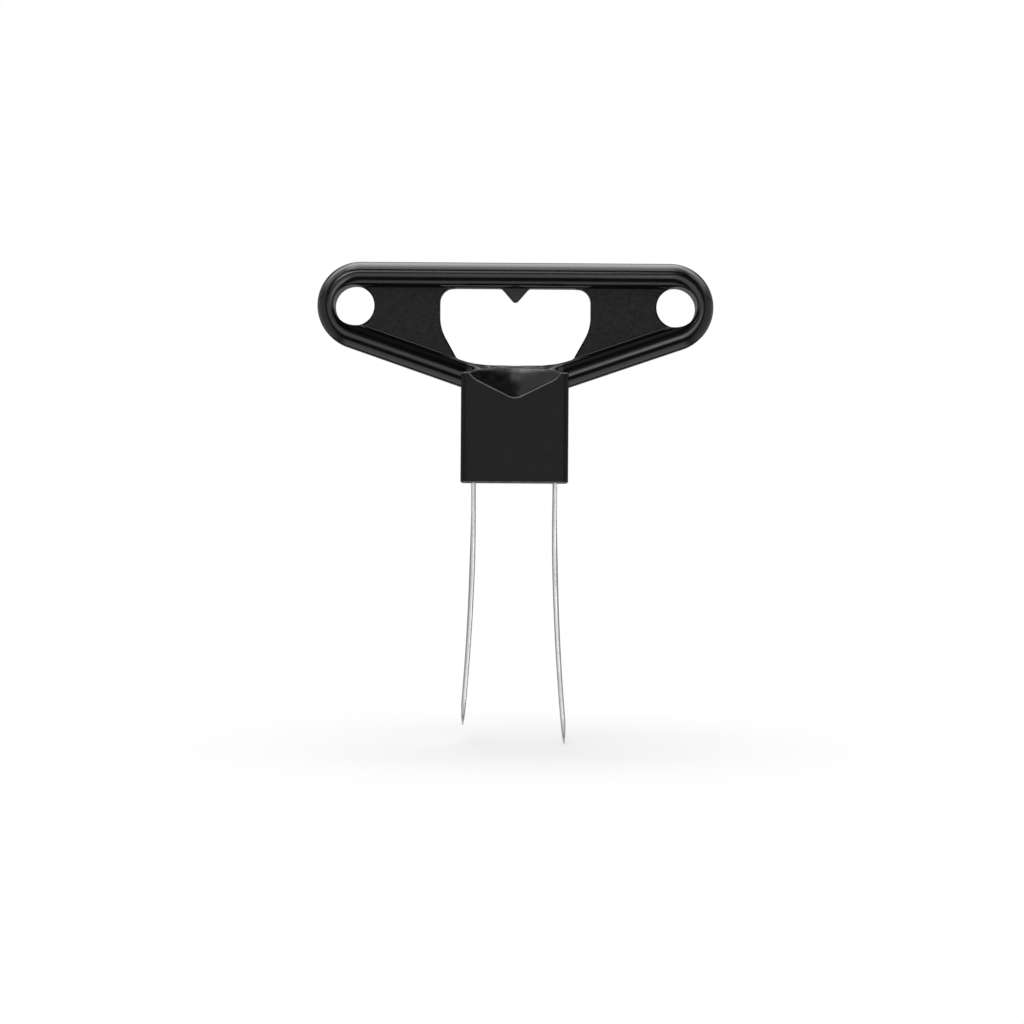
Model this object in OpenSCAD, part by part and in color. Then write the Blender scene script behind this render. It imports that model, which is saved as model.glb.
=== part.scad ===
// Two-prong cork puller: a cast handle with a cap lifter, a folded neck sleeve,
// a short and a long spring blade, and the two rivets that hold their tangs.
// Upright, front towards -Y. The origin is the middle of the neck's lower face,
// where the tool seats on a bottle.

/* [Handle] */
// Overall width across the two round ends
handle_w = 100; // [88:0.5:112]
// Height of the handle's top edge above the neck's lower face
handle_top = 55.6; // [52:0.2:62]
// Thickness of the rim bar in the plane of the handle
rim_w = 6.4; // [5:0.1:7]
// Depth of the rim bar from front to back
rim_d = 9; // [7.5:0.1:9.6]
// Outer radius of the round ends
end_r = 11; // [10:0.1:12]
// Slope of the two lower bars
bar_slope = 19; // [16:0.5:21]
// Thickness of the web
web_t = 3; // [2:0.1:4]

/* [Hanging eyes] */
// Diameter of each hanging eye
eye_d = 10.1; // [7:0.1:11]
// Distance of each eye's centre from the handle's outer end
eye_inset = 9.3; // [9:0.1:11]

/* [Cap lifter] */
// Width of the opening at its widest
opening_w = 38; // [34:0.5:42]
// Width of the opening at its lower corners
opening_low_w = 28.8; // [27:0.2:30]
// How far the lower corners cut into the sloping bars
opening_corner_bite = 0.4; // [0.2:0.05:0.8]
// How far the opening's lower edge dips in the middle
opening_dip = 1.4; // [0.8:0.1:1.8]
// Radius of the opening's upper corners
opening_corner_r = 3.6; // [2:0.1:4.5]
// Radius of the bulge at the opening's widest place
opening_side_r = 11; // [8:0.5:14]
// Height of the tooth below the bar
tooth_h = 3.5; // [2:0.1:5]
// Width of the tooth at its root
tooth_w = 7; // [5:0.1:9]
// Radius of the tooth's tip
tooth_tip_r = 1; // [0.5:0.1:1.3]

/* [Neck] */
// How far the neck reaches past each edge of the blades
flank_margin = 0.85; // [0.7:0.05:1.5]
// How far the neck's crown falls from its middle to the ends of the V cut
crown_drop = 1.8; // [1.2:0.1:2.2]
// Thickness of the sleeve's sheet
sheet_t = 1; // [0.8:0.05:1.2]
// Inner radius of the sleeve's folds
fold_in_r = 0.4; // [0.2:0.05:0.5]
// Slope of the straight sides of the V cut in the sleeve's upper edge
vee_slope = 26.5; // [22:0.5:30]
// Radius at the bottom of the V cut
vee_tip_r = 3.5; // [1.5:0.1:5]
// Radius where the V cut turns up at each end
vee_lip_r = 5; // [3:0.1:6]
// How far the V cut turns up there
vee_lip_turn = 34; // [20:1:45]
// Flat shoulder left at each end of the V cut
vee_shoulder = 2.1; // [1.6:0.1:2.6]
// Width of the seam where the folded sheet meets at the back
seam_w = 0.3; // [0.2:0.05:0.6]

/* [Blades] */
// Distance between the middles of the two blades at the neck
blade_pitch = 20.6; // [19.5:0.1:22]
// Thickness of a blade
blade_t = 1; // [0.8:0.05:1.2]
// Width of a blade at the neck
blade_w = 9.6; // [9.2:0.1:11]
// Width of a blade just above its round tip
blade_tip_w = 6.4; // [5:0.1:7.5]
// Length of the short blade below the neck
short_len = 61.2; // [50:0.2:63]
// Length of the long blade below the neck
long_len = 65.7; // [64:0.2:75]
// Radius at which a blade bows outwards along its length
bow_r = 600; // [450:10:900]
// Straight length of a blade below the neck, before it bows
straight_len = 7; // [3:0.5:12]
// Radius of a blade's hollow across its width
dish_r = 26; // [24:0.5:40]
// Length of the ground bevel at a blade's tip
bevel_len = 5; // [3:0.1:8]
// Thickness left at the ground tip
bevel_edge = 0.3; // [0.2:0.05:0.5]
// Length of the tang above the neck's lower face
tang_len = 11; // [10:0.1:12]

/* [Rivets] */
// Diameter of a rivet's shank
rivet_d = 2.4; // [1.8:0.1:2.6]
// Diameter of a rivet's head
rivet_head_d = 4.2; // [3.6:0.1:4.4]
// Height of a rivet's head
rivet_head_h = 1.3; // [1:0.05:1.6]
// Distance between the two rivets
rivet_pitch = 4.8; // [4.6:0.1:5]
// Height of the rivets above the neck's lower face
rivet_z = 5.5; // [5:0.1:6]

/* [Clearances] */
// Gap between the sleeve and the neck inside it
sleeve_fit = 0.05; // [0.02:0.01:0.1]
// Gap between the sleeve's side walls and the bars above them
bar_gap = 0.3; // [0.2:0.05:0.5]
// How far the saddle starts below the sleeve's V cut
saddle_sink = 0.4; // [0.3:0.05:0.6]
// Radius of the rounded ridge that a tang rocks on
ridge_r = 1.25; // [1:0.05:1.5]
// How far that ridge stands out of the neck's flank
ridge_h = 0.75; // [0.7:0.05:0.9]
// Gap between a tang and its ridge
tang_gap = 0.05; // [0.03:0.01:0.1]
// Gap between a tang's upper end and the neck above it
tang_end_gap = 0.6; // [0.4:0.05:1]
// Gap under each rivet head that lets the blade rock
head_gap = 0.2; // [0.18:0.01:0.3]
// Gap between a rivet head and the sleeve
head_side_gap = 0.2; // [0.1:0.05:0.3]
// Gap round a rivet in the hole of a tang
tang_hole_gap = 0.2; // [0.18:0.01:0.3]
// Gap round a rivet in the neck
rivet_fit = 0.04; // [0.02:0.01:0.08]

/* [Hidden] */

$fn = 96;
// Overlap that joins solids of one piece, and by which a cut runs past a face
join = 0.5;

// Rim: centre lines of the bars and of the round ends
rim_r = rim_w / 2;
bend_r = end_r - rim_r;
bend_x = handle_w / 2 - end_r;
bend_z = handle_top - end_r;
top_bar_z = handle_top - rim_r;
rim_under_z = top_bar_z - rim_r;
// The sloping bar leaves the round end on a tangent and runs in to the middle
bar_start = [bend_x + bend_r * sin(bar_slope), bend_z - bend_r * cos(bar_slope)];
bar_len = bar_start[0] / cos(bar_slope);
bar_rise = rim_r / cos(bar_slope);
// The round ends are a hair thicker than the bars and lap over them
bar_inset = 0.03;
lap_angle = 1.5;
function bar_z(x) = bar_start[1] - (bar_start[0] - x) * tan(bar_slope);
eye_x = handle_w / 2 - eye_inset;
eye_z = bend_z;

// Heights where the neck meets the handle
opening_low_z = bar_z(opening_low_w / 2) + bar_rise - opening_corner_bite;
crown_z = opening_low_z - opening_dip;
sleeve_h = crown_z - crown_drop;

// Tangs and rivet heads, from the middle outwards, and the sleeve round them
tang_in_x = blade_pitch / 2 - blade_t / 2;
tang_out_x = blade_pitch / 2 + blade_t / 2;
head_x = tang_out_x + head_gap;
head_r = rivet_head_d / 2;
dome_r = (head_r * head_r + rivet_head_h * rivet_head_h) / (2 * rivet_head_h);
sleeve_in_w = 2 * (head_x + rivet_head_h + head_side_gap);
block_w = sleeve_in_w - 2 * sleeve_fit;
block_d = blade_w + 2 * flank_margin;
sleeve_in_d = block_d + 2 * sleeve_fit;
sleeve_w = sleeve_in_w + 2 * sheet_t;
sleeve_d = sleeve_in_d + 2 * sheet_t;
ridge_x = tang_in_x - tang_gap - ridge_r;
flank_x = ridge_x + ridge_r - ridge_h;
shoulder_z = tang_len + tang_end_gap;

// The V cut: a round tip, a straight side, and a lip that turns up to the shoulder
vee_half = sleeve_w / 2 - vee_shoulder;
vee_end_slope = vee_slope + vee_lip_turn;
vee_side = (vee_half - vee_tip_r * sin(vee_slope)
    - vee_lip_r * (sin(vee_end_slope) - sin(vee_slope))) / cos(vee_slope);
vee_depth = vee_tip_r * (1 - cos(vee_slope)) + vee_side * sin(vee_slope)
    + vee_lip_r * (cos(vee_slope) - cos(vee_end_slope));
vee_z = sleeve_h - vee_depth;
// The crown's arc falls by crown_drop at the ends of the V cut
crown_r = (vee_half * vee_half + crown_drop * crown_drop) / (2 * crown_drop);
// Each saddle facet leans back from the V cut to the web at the middle of the crown
saddle_z = vee_z - saddle_sink;
saddle_lean = atan2(crown_z - saddle_z, block_d / 2 - web_t / 2);
// The sleeve's side walls end below the bars
side_wall_z = bar_z(sleeve_in_w / 2) - bar_rise - bar_gap;

// The prong's hollow begins just inside the neck
dish_top = 1;
dish_sag = blade_w * blade_w / (8 * dish_r);

// Points of an arc about a centre, from angle a to angle b
function arc(centre, r, a, b, steps = 16) =
    [for (i = [0 : steps]) let (t = a + (b - a) * i / steps) centre + r * [cos(t), sin(t)]];

// A closed outline from its right half, where a point on the middle line counts once
function symmetric(right) = concat(
    right,
    [for (i = [len(right) - 1 : -1 : 0]) if (right[i][0] > 0.001) [-right[i][0], right[i][1]]]
);

// A shape and its mirror image on the left
module both_sides() {
    children();
    mirror([1, 0, 0]) children();
}

// An outline drawn in X and Z, given a depth centred on the mid plane
module upright(depth) {
    rotate([90, 0, 0]) linear_extrude(depth, center = true) children();
}

// Section of the rim, round at the front and at the back, slimmer all round by inset
module rim_section(inset = 0) {
    flat = rim_d - rim_w;
    square([rim_w - 2 * inset, flat], center = true);
    for (side = [-1, 1])
        translate([0, side * flat / 2]) circle(rim_r - inset);
}

// Right half of the rim: the top bar and the sloping bar, which end inside the round end
module half_rim() {
    translate([0, 0, top_bar_z])
        rotate([0, 90, 0]) linear_extrude(bend_x) rim_section(bar_inset);
    translate([bend_x, 0, bend_z])
        rotate([90, 0, 0]) {
            rotate([0, 0, bar_slope - 90 - lap_angle])
                rotate_extrude(angle = 180 - bar_slope + 2 * lap_angle)
                    translate([bend_r, 0]) rim_section();
            rotate([0, 0, bar_slope - 90])
                translate([bend_r, 0, 0])
                    rotate([90, 0, 0]) linear_extrude(bar_len + join) rim_section(bar_inset);
        }
}

// Outline of the web, near the centre lines of the rim
module web_outline() {
    // Keeps the web's corners away from where the round ends meet the bars
    corner_angle = 6;
    polygon(symmetric(concat(
        [[0, bar_z(0)]],
        arc([bend_x, bend_z], bend_r, bar_slope - 90 + corner_angle, 90 - corner_angle)
    )));
}

// Outline of the opening that a crown cap goes into
module opening_outline() {
    corner = [opening_w / 2 - opening_corner_r, rim_under_z - opening_corner_r];
    side = [opening_w / 2 - opening_side_r, corner[1] - opening_corner_r];
    low = [opening_low_w / 2, opening_low_z];
    dip_r = (low[0] * low[0] + opening_dip * opening_dip) / (2 * opening_dip);
    // The straight flank leaves the bulge on the tangent through the lower corner
    to_low = low - side;
    flank_angle = atan2(to_low[1], to_low[0]) + acos(opening_side_r / norm(to_low));
    polygon(symmetric(concat(
        arc([0, crown_z + dip_r], dip_r, -90, asin(low[0] / dip_r) - 90),
        arc(side, opening_side_r, flank_angle, 0),
        arc(corner, opening_corner_r, 0, 90),
        [[corner[0], rim_under_z + join]]
    )));
}

// Outline of the tooth under the middle of the top bar
module tooth_outline() {
    tip = [0, rim_under_z - tooth_h + tooth_tip_r];
    root = [tooth_w / 2, rim_under_z];
    to_root = root - tip;
    flank_angle = atan2(to_root[1], to_root[0]) - acos(tooth_tip_r / norm(to_root));
    polygon(symmetric(concat(
        arc(tip, tooth_tip_r, -90, flank_angle),
        [root, root + [0, join]]
    )));
}

// The sleeve's V cut, open upwards
module vee_outline() {
    tip = [0, vee_z + vee_tip_r];
    lip = [vee_half - vee_lip_r * sin(vee_end_slope), sleeve_h + vee_lip_r * cos(vee_end_slope)];
    polygon(symmetric(concat(
        arc(tip, vee_tip_r, -90, vee_slope - 90),
        arc(lip, vee_lip_r, vee_slope - 90, vee_end_slope - 90),
        [[vee_half, sleeve_h + join]]
    )));
}

// A square with four rounded corners
module rounded_square(size, r) {
    square([size[0] - 2 * r, size[1]], center = true);
    square([size[0], size[1] - 2 * r], center = true);
    for (sx = [-1, 1], sy = [-1, 1])
        translate([sx * (size[0] / 2 - r), sy * (size[1] / 2 - r)]) circle(r);
}

// Upper neck, which fills the sleeve and has a rounded crown
module neck_crown() {
    half_angle = asin(block_w / 2 / crown_r);
    intersection() {
        upright(block_d) polygon(concat(
            [[-block_w / 2, shoulder_z], [block_w / 2, shoulder_z]],
            arc([0, crown_z - crown_r], crown_r, 90 - half_angle, 90 + half_angle)
        ));
        linear_extrude(handle_top) rounded_square([block_w, block_d], fold_in_r + sheet_t);
    }
}

// Lower neck between the tangs, with the ridges that they rock on
module neck_core() {
    translate([-flank_x, -block_d / 2, 0]) cube([2 * flank_x, block_d, shoulder_z + join]);
    both_sides()
        translate([ridge_x, 0, rivet_z])
            rotate([90, 0, 0]) cylinder(h = block_d, r = ridge_r, center = true);
}

// What is cut away for the front saddle: a V groove that climbs to the back
module saddle_cut() {
    reach = sleeve_w;
    rise = reach * tan(vee_slope) * cos(saddle_lean);
    intersection() {
        translate([0, -block_d / 2, saddle_z])
            rotate([saddle_lean, 0, 0])
                upright(4 * sleeve_d) polygon([[0, 0], [reach, rise], [-reach, rise]]);
        translate([-sleeve_w / 2, -sleeve_d, 0]) cube([sleeve_w, sleeve_d, bend_z]);
    }
}

// Cylinders on the two rivet axes, along X
module rivet_cylinders(r, length) {
    for (side = [-1, 1])
        translate([0, side * rivet_pitch / 2, rivet_z])
            rotate([0, 90, 0]) cylinder(h = length, r = r, center = true);
}

module handle_frame() {
    color([0.10, 0.10, 0.11])
    difference() {
        union() {
            difference() {
                union() {
                    both_sides() half_rim();
                    neck_crown();
                }
                saddle_cut();
                mirror([0, 1, 0]) saddle_cut();
            }
            neck_core();
            difference() {
                upright(web_t) web_outline();
                upright(web_t + join) opening_outline();
            }
            upright(web_t) tooth_outline();
        }
        for (side = [-1, 1])
            translate([side * eye_x, 0, eye_z])
                rotate([90, 0, 0]) cylinder(h = rim_d + join, r = eye_d / 2, center = true);
        rivet_cylinders(rivet_d / 2 + rivet_fit, sleeve_w);
    }
}

module neck_sleeve() {
    notch_d = rim_d + 2 * bar_gap;
    color([0.13, 0.13, 0.14])
    difference() {
        linear_extrude(sleeve_h) difference() {
            rounded_square([sleeve_w, sleeve_d], fold_in_r + sheet_t);
            rounded_square([sleeve_in_w, sleeve_in_d], fold_in_r);
        }
        upright(sleeve_d + join) vee_outline();
        translate([-sleeve_w, -notch_d / 2, side_wall_z]) cube([2 * sleeve_w, notch_d, sleeve_h]);
        translate([-seam_w / 2, 0, -join]) cube([seam_w, sleeve_d, sleeve_h]);
    }
}

// Outline of a blade from the side: parallel at the neck, tapered, with a round tip
module blade_outline(length) {
    tip_r = blade_tip_w / 2;
    polygon(symmetric(concat(
        [[blade_w / 2, tang_len], [blade_w / 2, -straight_len]],
        arc([0, tip_r - length], tip_r, 0, -90)
    )));
}

// Section of the prong across its width: its hollow side faces -X where flip is 1
module dish_section(flip) {
    translate([flip * (dish_sag / 2 - dish_r), 0])
        intersection() {
            difference() {
                circle(dish_r + blade_t / 2, $fn = 240);
                circle(dish_r - blade_t / 2, $fn = 240);
            }
            translate([flip * dish_r, 0]) square([dish_r, blade_w], center = true);
        }
}

// What is ground away outside the tip of the right blade
module bevel_cut(length) {
    bow_angle = asin((length - straight_len) / bow_r);
    bow_x = bow_r * (1 - cos(bow_angle));
    tip_in_x = tang_in_x + bow_x + dish_sag / 2;
    bevel_angle = atan2(blade_t - bevel_edge, bevel_len);
    translate([tip_in_x + bevel_edge, -blade_w, -length])
        rotate([0, bevel_angle - bow_angle, 0])
            translate([0, 0, -bevel_len]) cube([blade_w, 2 * blade_w, 4 * bevel_len]);
}

// The right blade: flat tang, then the hollow prong, straight at first and then bowed
module blade(length) {
    bow_angle = asin((length - straight_len + join) / bow_r);
    difference() {
        intersection() {
            union() {
                translate([tang_in_x, -blade_w / 2, dish_top])
                    cube([blade_t, blade_w, tang_len - dish_top]);
                translate([blade_pitch / 2, 0, -straight_len])
                    linear_extrude(straight_len + dish_top) dish_section(1);
                translate([blade_pitch / 2 + bow_r, 0, -straight_len])
                    rotate([90, 0, 0])
                        rotate([0, 0, 180])
                            rotate_extrude(angle = bow_angle, $fn = 720)
                                translate([bow_r, 0]) dish_section(-1);
            }
            translate([blade_pitch / 2, 0, 0])
                rotate([0, 0, 90]) upright(blade_pitch) blade_outline(length);
        }
        rivet_cylinders(rivet_d / 2 + tang_hole_gap, 2 * sleeve_w);
        bevel_cut(length);
    }
}

module short_blade() {
    color([0.82, 0.83, 0.84]) mirror([1, 0, 0]) blade(short_len);
}

module long_blade() {
    color([0.82, 0.83, 0.84]) blade(long_len);
}

// A rivet's low domed head, with its flat side at the origin and its crown along +Z
module rivet_head() {
    rotate_extrude() intersection() {
        translate([0, rivet_head_h - dome_r]) circle(dome_r);
        square([head_r, rivet_head_h]);
    }
}

module tang_rivets() {
    color([0.70, 0.70, 0.71]) union() {
        rivet_cylinders(rivet_d / 2, 2 * head_x + join);
        for (side = [-1, 1])
            both_sides()
                translate([head_x, side * rivet_pitch / 2, rivet_z])
                    rotate([0, 90, 0]) rivet_head();
    }
}

handle_frame();
neck_sleeve();
short_blade();
long_blade();
tang_rivets();
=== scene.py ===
"""Looks of the two-prong cork puller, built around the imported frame.

Sizes of the tool are in millimetres and become metres in each mesh; the stage is in metres.
The front is -Y, up is +Z, and the origin is the middle of the neck's lower face.
"""
import math

import bmesh
import bpy
import numpy as np
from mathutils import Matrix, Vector


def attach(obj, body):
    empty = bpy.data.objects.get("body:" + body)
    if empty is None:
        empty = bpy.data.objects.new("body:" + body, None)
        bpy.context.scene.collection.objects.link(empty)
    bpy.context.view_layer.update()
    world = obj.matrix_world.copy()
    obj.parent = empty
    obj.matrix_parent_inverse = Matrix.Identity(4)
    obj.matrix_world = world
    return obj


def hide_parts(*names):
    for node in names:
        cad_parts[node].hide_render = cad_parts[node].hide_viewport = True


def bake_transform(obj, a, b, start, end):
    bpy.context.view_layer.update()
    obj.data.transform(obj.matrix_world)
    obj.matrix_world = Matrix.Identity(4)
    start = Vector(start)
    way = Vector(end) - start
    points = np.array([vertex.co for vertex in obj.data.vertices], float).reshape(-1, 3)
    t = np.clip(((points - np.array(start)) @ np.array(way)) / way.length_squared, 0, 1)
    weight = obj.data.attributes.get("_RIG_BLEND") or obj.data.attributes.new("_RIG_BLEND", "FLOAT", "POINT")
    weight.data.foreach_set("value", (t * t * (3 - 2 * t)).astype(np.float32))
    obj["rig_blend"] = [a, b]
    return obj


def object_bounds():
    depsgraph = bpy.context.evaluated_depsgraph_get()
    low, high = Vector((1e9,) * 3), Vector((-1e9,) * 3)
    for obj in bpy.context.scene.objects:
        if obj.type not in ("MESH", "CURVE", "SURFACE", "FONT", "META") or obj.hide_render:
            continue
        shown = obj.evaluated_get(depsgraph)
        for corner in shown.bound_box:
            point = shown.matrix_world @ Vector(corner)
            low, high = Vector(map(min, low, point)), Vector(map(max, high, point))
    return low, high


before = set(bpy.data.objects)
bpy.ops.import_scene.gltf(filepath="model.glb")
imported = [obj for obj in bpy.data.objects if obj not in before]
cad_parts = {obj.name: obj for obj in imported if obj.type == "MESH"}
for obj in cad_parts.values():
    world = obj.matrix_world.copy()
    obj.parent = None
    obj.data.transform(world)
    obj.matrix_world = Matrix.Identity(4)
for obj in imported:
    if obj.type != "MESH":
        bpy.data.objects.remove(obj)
cad_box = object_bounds()
scene = bpy.context.scene
MM = 0.001

# Handle
HANDLE_W = 100.0
HANDLE_TOP = 55.6
RIM_W = 6.4
RIM_D = 9.0
END_R = 11.0
BAR_SLOPE = math.radians(19.0)
WEB_T = 3.0
EYE_R = 5.05
EYE_INSET = 9.3
# Cap lifter; its outlines run on into the rim
OPENING_W = 38.0
OPENING_LOW_W = 28.8
OPENING_BITE = 0.4
OPENING_DIP = 1.4
OPENING_CORNER_R = 3.6
OPENING_SIDE_R = 11.0
TOOTH_H = 3.5
TOOTH_W = 7.0
TOOTH_TIP_R = 1.0
OUTLINE_LAP = 2.0
# Neck and sleeve
CROWN_DROP = 1.8
BLOCK_W = 24.9
BLOCK_D = 11.3
FLANK_X = 9.0
SHOULDER_Z = 11.6
CORE_LAP = 0.5
SLEEVE_W = 27.0
SLEEVE_D = 13.4
SHEET_T = 1.0
SHEET_EDGE_R = 0.34
FOLD_R = 1.4
SEAM_W = 0.3
VEE_SLOPE = math.radians(26.5)
VEE_TIP_R = 3.5
VEE_LIP_R = 5.0
VEE_LIP_TURN = math.radians(34.0)
VEE_SHOULDER = 2.1
BAR_GAP = 0.3
SADDLE_SINK = 0.4
SADDLE_SLOPE = 2.6
SADDLE_STRAIGHT = 1.2
SADDLE_OVER = 0.35
RIDGE_X = 8.5
RIDGE_R = 1.25
# Fillets and rounded edges of the casting, and the valley of its saddles
FILLET = 0.4
EDGE = 0.5
CROWN_EDGE = 0.7
SADDLE_EDGE = 0.15
NECK_FILLET = 0.6
NECK_FILLET_GAIN = 0.6
NECK_FILLET_Z = 25.0
NECK_FILLET_RISE = 4.0
VALLEY_LOW = 0.3
VALLEY_HIGH = 2.2
VALLEY_LEN = 2.6
VALLEY_SINK = 0.6
# Blades and rivets
BLADE_PITCH = 20.6
BLADE_T = 1.0
BLADE_LEAST_T = 0.06
BLADE_W = 9.6
BLADE_TIP_W = 6.4
BLADE_EDGE_R = 0.18
BLADE_SHARP = math.radians(50)
SHORT_LEN = 61.2
LONG_LEN = 65.7
BOW_R = 600.0
STRAIGHT = 7.0
DISH_R = 26.0
HOLLOW_LEN = 24.0
BEVEL_LEN = 5.0
BEVEL_EDGE = 0.3
GROUND_OVER = 2.0
GROUND_FADE = 3.0
TANG_LEN = 11.0
TANG_END_LEN = 0.2
TANG_END_THIN = 0.12
RIVET_BORE_R = 1.24
RIVET_Y = 2.4
RIVET_Z = 5.5

# Places that follow from the sizes
RIM_R = RIM_W / 2
RIM_FLAT = (RIM_D - RIM_W) / 2
BEND_R = END_R - RIM_R
BEND_X = HANDLE_W / 2 - END_R
BEND_Z = HANDLE_TOP - END_R
EYE_X = HANDLE_W / 2 - EYE_INSET
TOP_BAR_Z = HANDLE_TOP - RIM_R
RIM_UNDER_Z = TOP_BAR_Z - RIM_R
BAR_COS, BAR_SIN = math.cos(BAR_SLOPE), math.sin(BAR_SLOPE)
BAR_START = (BEND_X + BEND_R * BAR_SIN, BEND_Z - BEND_R * BAR_COS)
BAR_RISE = RIM_R / BAR_COS
BAR_Z0 = BAR_START[1] - BAR_START[0] * math.tan(BAR_SLOPE)
OPENING_LOW_Z = BAR_Z0 + OPENING_LOW_W / 2 * math.tan(BAR_SLOPE) + BAR_RISE - OPENING_BITE
CROWN_Z = OPENING_LOW_Z - OPENING_DIP
SLEEVE_H = CROWN_Z - CROWN_DROP
VEE_END_SLOPE = VEE_SLOPE + VEE_LIP_TURN
VEE_HALF = SLEEVE_W / 2 - VEE_SHOULDER
VEE_SIDE = (
    VEE_HALF - VEE_TIP_R * math.sin(VEE_SLOPE)
    - VEE_LIP_R * (math.sin(VEE_END_SLOPE) - math.sin(VEE_SLOPE))
) / math.cos(VEE_SLOPE)
VEE_DEPTH = (
    VEE_TIP_R * (1 - math.cos(VEE_SLOPE)) + VEE_SIDE * math.sin(VEE_SLOPE)
    + VEE_LIP_R * (math.cos(VEE_SLOPE) - math.cos(VEE_END_SLOPE))
)
VEE_Z = SLEEVE_H - VEE_DEPTH
CROWN_R = (VEE_HALF ** 2 + CROWN_DROP ** 2) / (2 * CROWN_DROP)
SADDLE_Z = VEE_Z - SADDLE_SINK
SADDLE_DEEP = BLOCK_D / 2 - WEB_T / 2
SADDLE_BOW = (
    SADDLE_SLOPE * SADDLE_DEEP - CROWN_Z - SADDLE_OVER + SADDLE_Z
) / (SADDLE_DEEP - SADDLE_STRAIGHT) ** 2
SIDE_WALL_Z = BAR_Z0 + (SLEEVE_W / 2 - SHEET_T) * math.tan(BAR_SLOPE) - BAR_RISE - BAR_GAP
NOTCH_HALF = RIM_D / 2 + BAR_GAP
DISH_SAG = BLADE_W ** 2 / (8 * DISH_R)

# Fineness of outlines and meshes
ARC_STEPS = 8
TOOTH_STEPS = 6
VEE_LIP_STEPS = 10
ON_MIDDLE = 0.001
GRID_STEP = 0.32
GRID_MARGIN = 0.7
GRADIENT_REACH = 0.02
RELAX_SHARES = (0.0, 0.5, 0.5, 0.3, 0.0)
LEAST_SLOPE = 0.2
LONGEST_MOVE = 0.5
TINY = 1e-9
SHEET_EDGE_RINGS = 5
FOLD_CUTS = 8
FLAT_CUT_START = 1.5
FLAT_CUT_STEP = 3.0
CUT_TOLERANCE = 1e-4
TANG_LEVELS = (
    TANG_LEN, TANG_LEN - 0.06, TANG_LEN - TANG_END_LEN,
    6.0, 2.2, 1.6, 1.0, 0.5, 0.0, -2.5, -5.0, -STRAIGHT,
)
PRONG_ROWS = 56
TIP_ROWS = 24
TIP_TURN = 89
TIP_LEAST_HALF = 0.02
FACE_COLUMNS = 12
BLADE_INSETS = (0.0, 0.02, 0.05, 0.10, BLADE_EDGE_R)
NARROW_HALF = 1.2


# Outlines in X and Z
def arc(cx, cz, r, a, b, steps):
    t = np.radians(np.linspace(a, b, steps + 1))
    return np.stack([cx + r * np.cos(t), cz + r * np.sin(t)], axis=1)


def mirrored(right):
    """A closed outline from its right half; points on the middle line count once."""
    left = right[::-1][right[::-1][:, 0] > ON_MIDDLE]
    return np.concatenate([right, left * [-1, 1]])


def opening_outline():
    cx, cz = OPENING_W / 2 - OPENING_CORNER_R, RIM_UNDER_Z - OPENING_CORNER_R
    sx, sz = OPENING_W / 2 - OPENING_SIDE_R, cz - OPENING_CORNER_R
    low = OPENING_LOW_W / 2
    dip_r = (low ** 2 + OPENING_DIP ** 2) / (2 * OPENING_DIP)
    dip_end = math.degrees(math.asin(low / dip_r)) - 90
    dx, dz = low - sx, OPENING_LOW_Z - sz
    flank = math.degrees(math.atan2(dz, dx) + math.acos(OPENING_SIDE_R / math.hypot(dx, dz)))
    return mirrored(np.concatenate([
        arc(0, CROWN_Z + dip_r, dip_r, -90, dip_end, ARC_STEPS),
        arc(sx, sz, OPENING_SIDE_R, flank, 0, ARC_STEPS),
        arc(cx, cz, OPENING_CORNER_R, 0, 90, ARC_STEPS),
        [[cx, RIM_UNDER_Z + OUTLINE_LAP]],
    ]))


def tooth_outline():
    tip_z = RIM_UNDER_Z - TOOTH_H + TOOTH_TIP_R
    dx, dz = TOOTH_W / 2, RIM_UNDER_Z - tip_z
    flank = math.degrees(math.atan2(dz, dx) - math.acos(TOOTH_TIP_R / math.hypot(dx, dz)))
    return mirrored(np.concatenate([
        arc(0, tip_z, TOOTH_TIP_R, -90, flank, TOOTH_STEPS),
        [[TOOTH_W / 2, RIM_UNDER_Z], [TOOTH_W / 2, RIM_UNDER_Z + OUTLINE_LAP]],
    ]))


def outline_distance(x, z, outline):
    """Distance to a closed outline, negative inside it."""
    best = np.full(x.shape, np.inf)
    inside = np.zeros(x.shape, bool)
    for (ax, az), (bx, bz) in zip(outline, np.roll(outline, -1, axis=0)):
        ex, ez = bx - ax, bz - az
        wx, wz = x - ax, z - az
        t = np.clip((wx * ex + wz * ez) / (ex * ex + ez * ez), 0, 1)
        best = np.minimum(best, (wx - ex * t) ** 2 + (wz - ez * t) ** 2)
        crosses = (az > z) != (bz > z)
        if ez:
            inside ^= crosses & (x < ax + ex * wz / ez)
    return np.where(inside, -1, 1) * np.sqrt(best)


def soft_min(a, b, k):
    h = np.maximum(k - np.abs(a - b), 0) / k
    return np.minimum(a, b) - h * h * k / 4


def soft_max(a, b, k):
    return -soft_min(-a, -b, k)


# The casting is one signed distance, so that its fillets and edges are true geometry
OPENING = opening_outline()
TOOTH = tooth_outline()
OPENING_REACH = 6
TOOTH_REACH = 4
FAR = 9.0


def distance_near(x, z, outline, near):
    """Distance to a closed outline where it is near, and FAR elsewhere."""
    out = np.full(x.shape, FAR)
    out[near] = outline_distance(x[near], z[near], outline)
    return out


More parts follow.
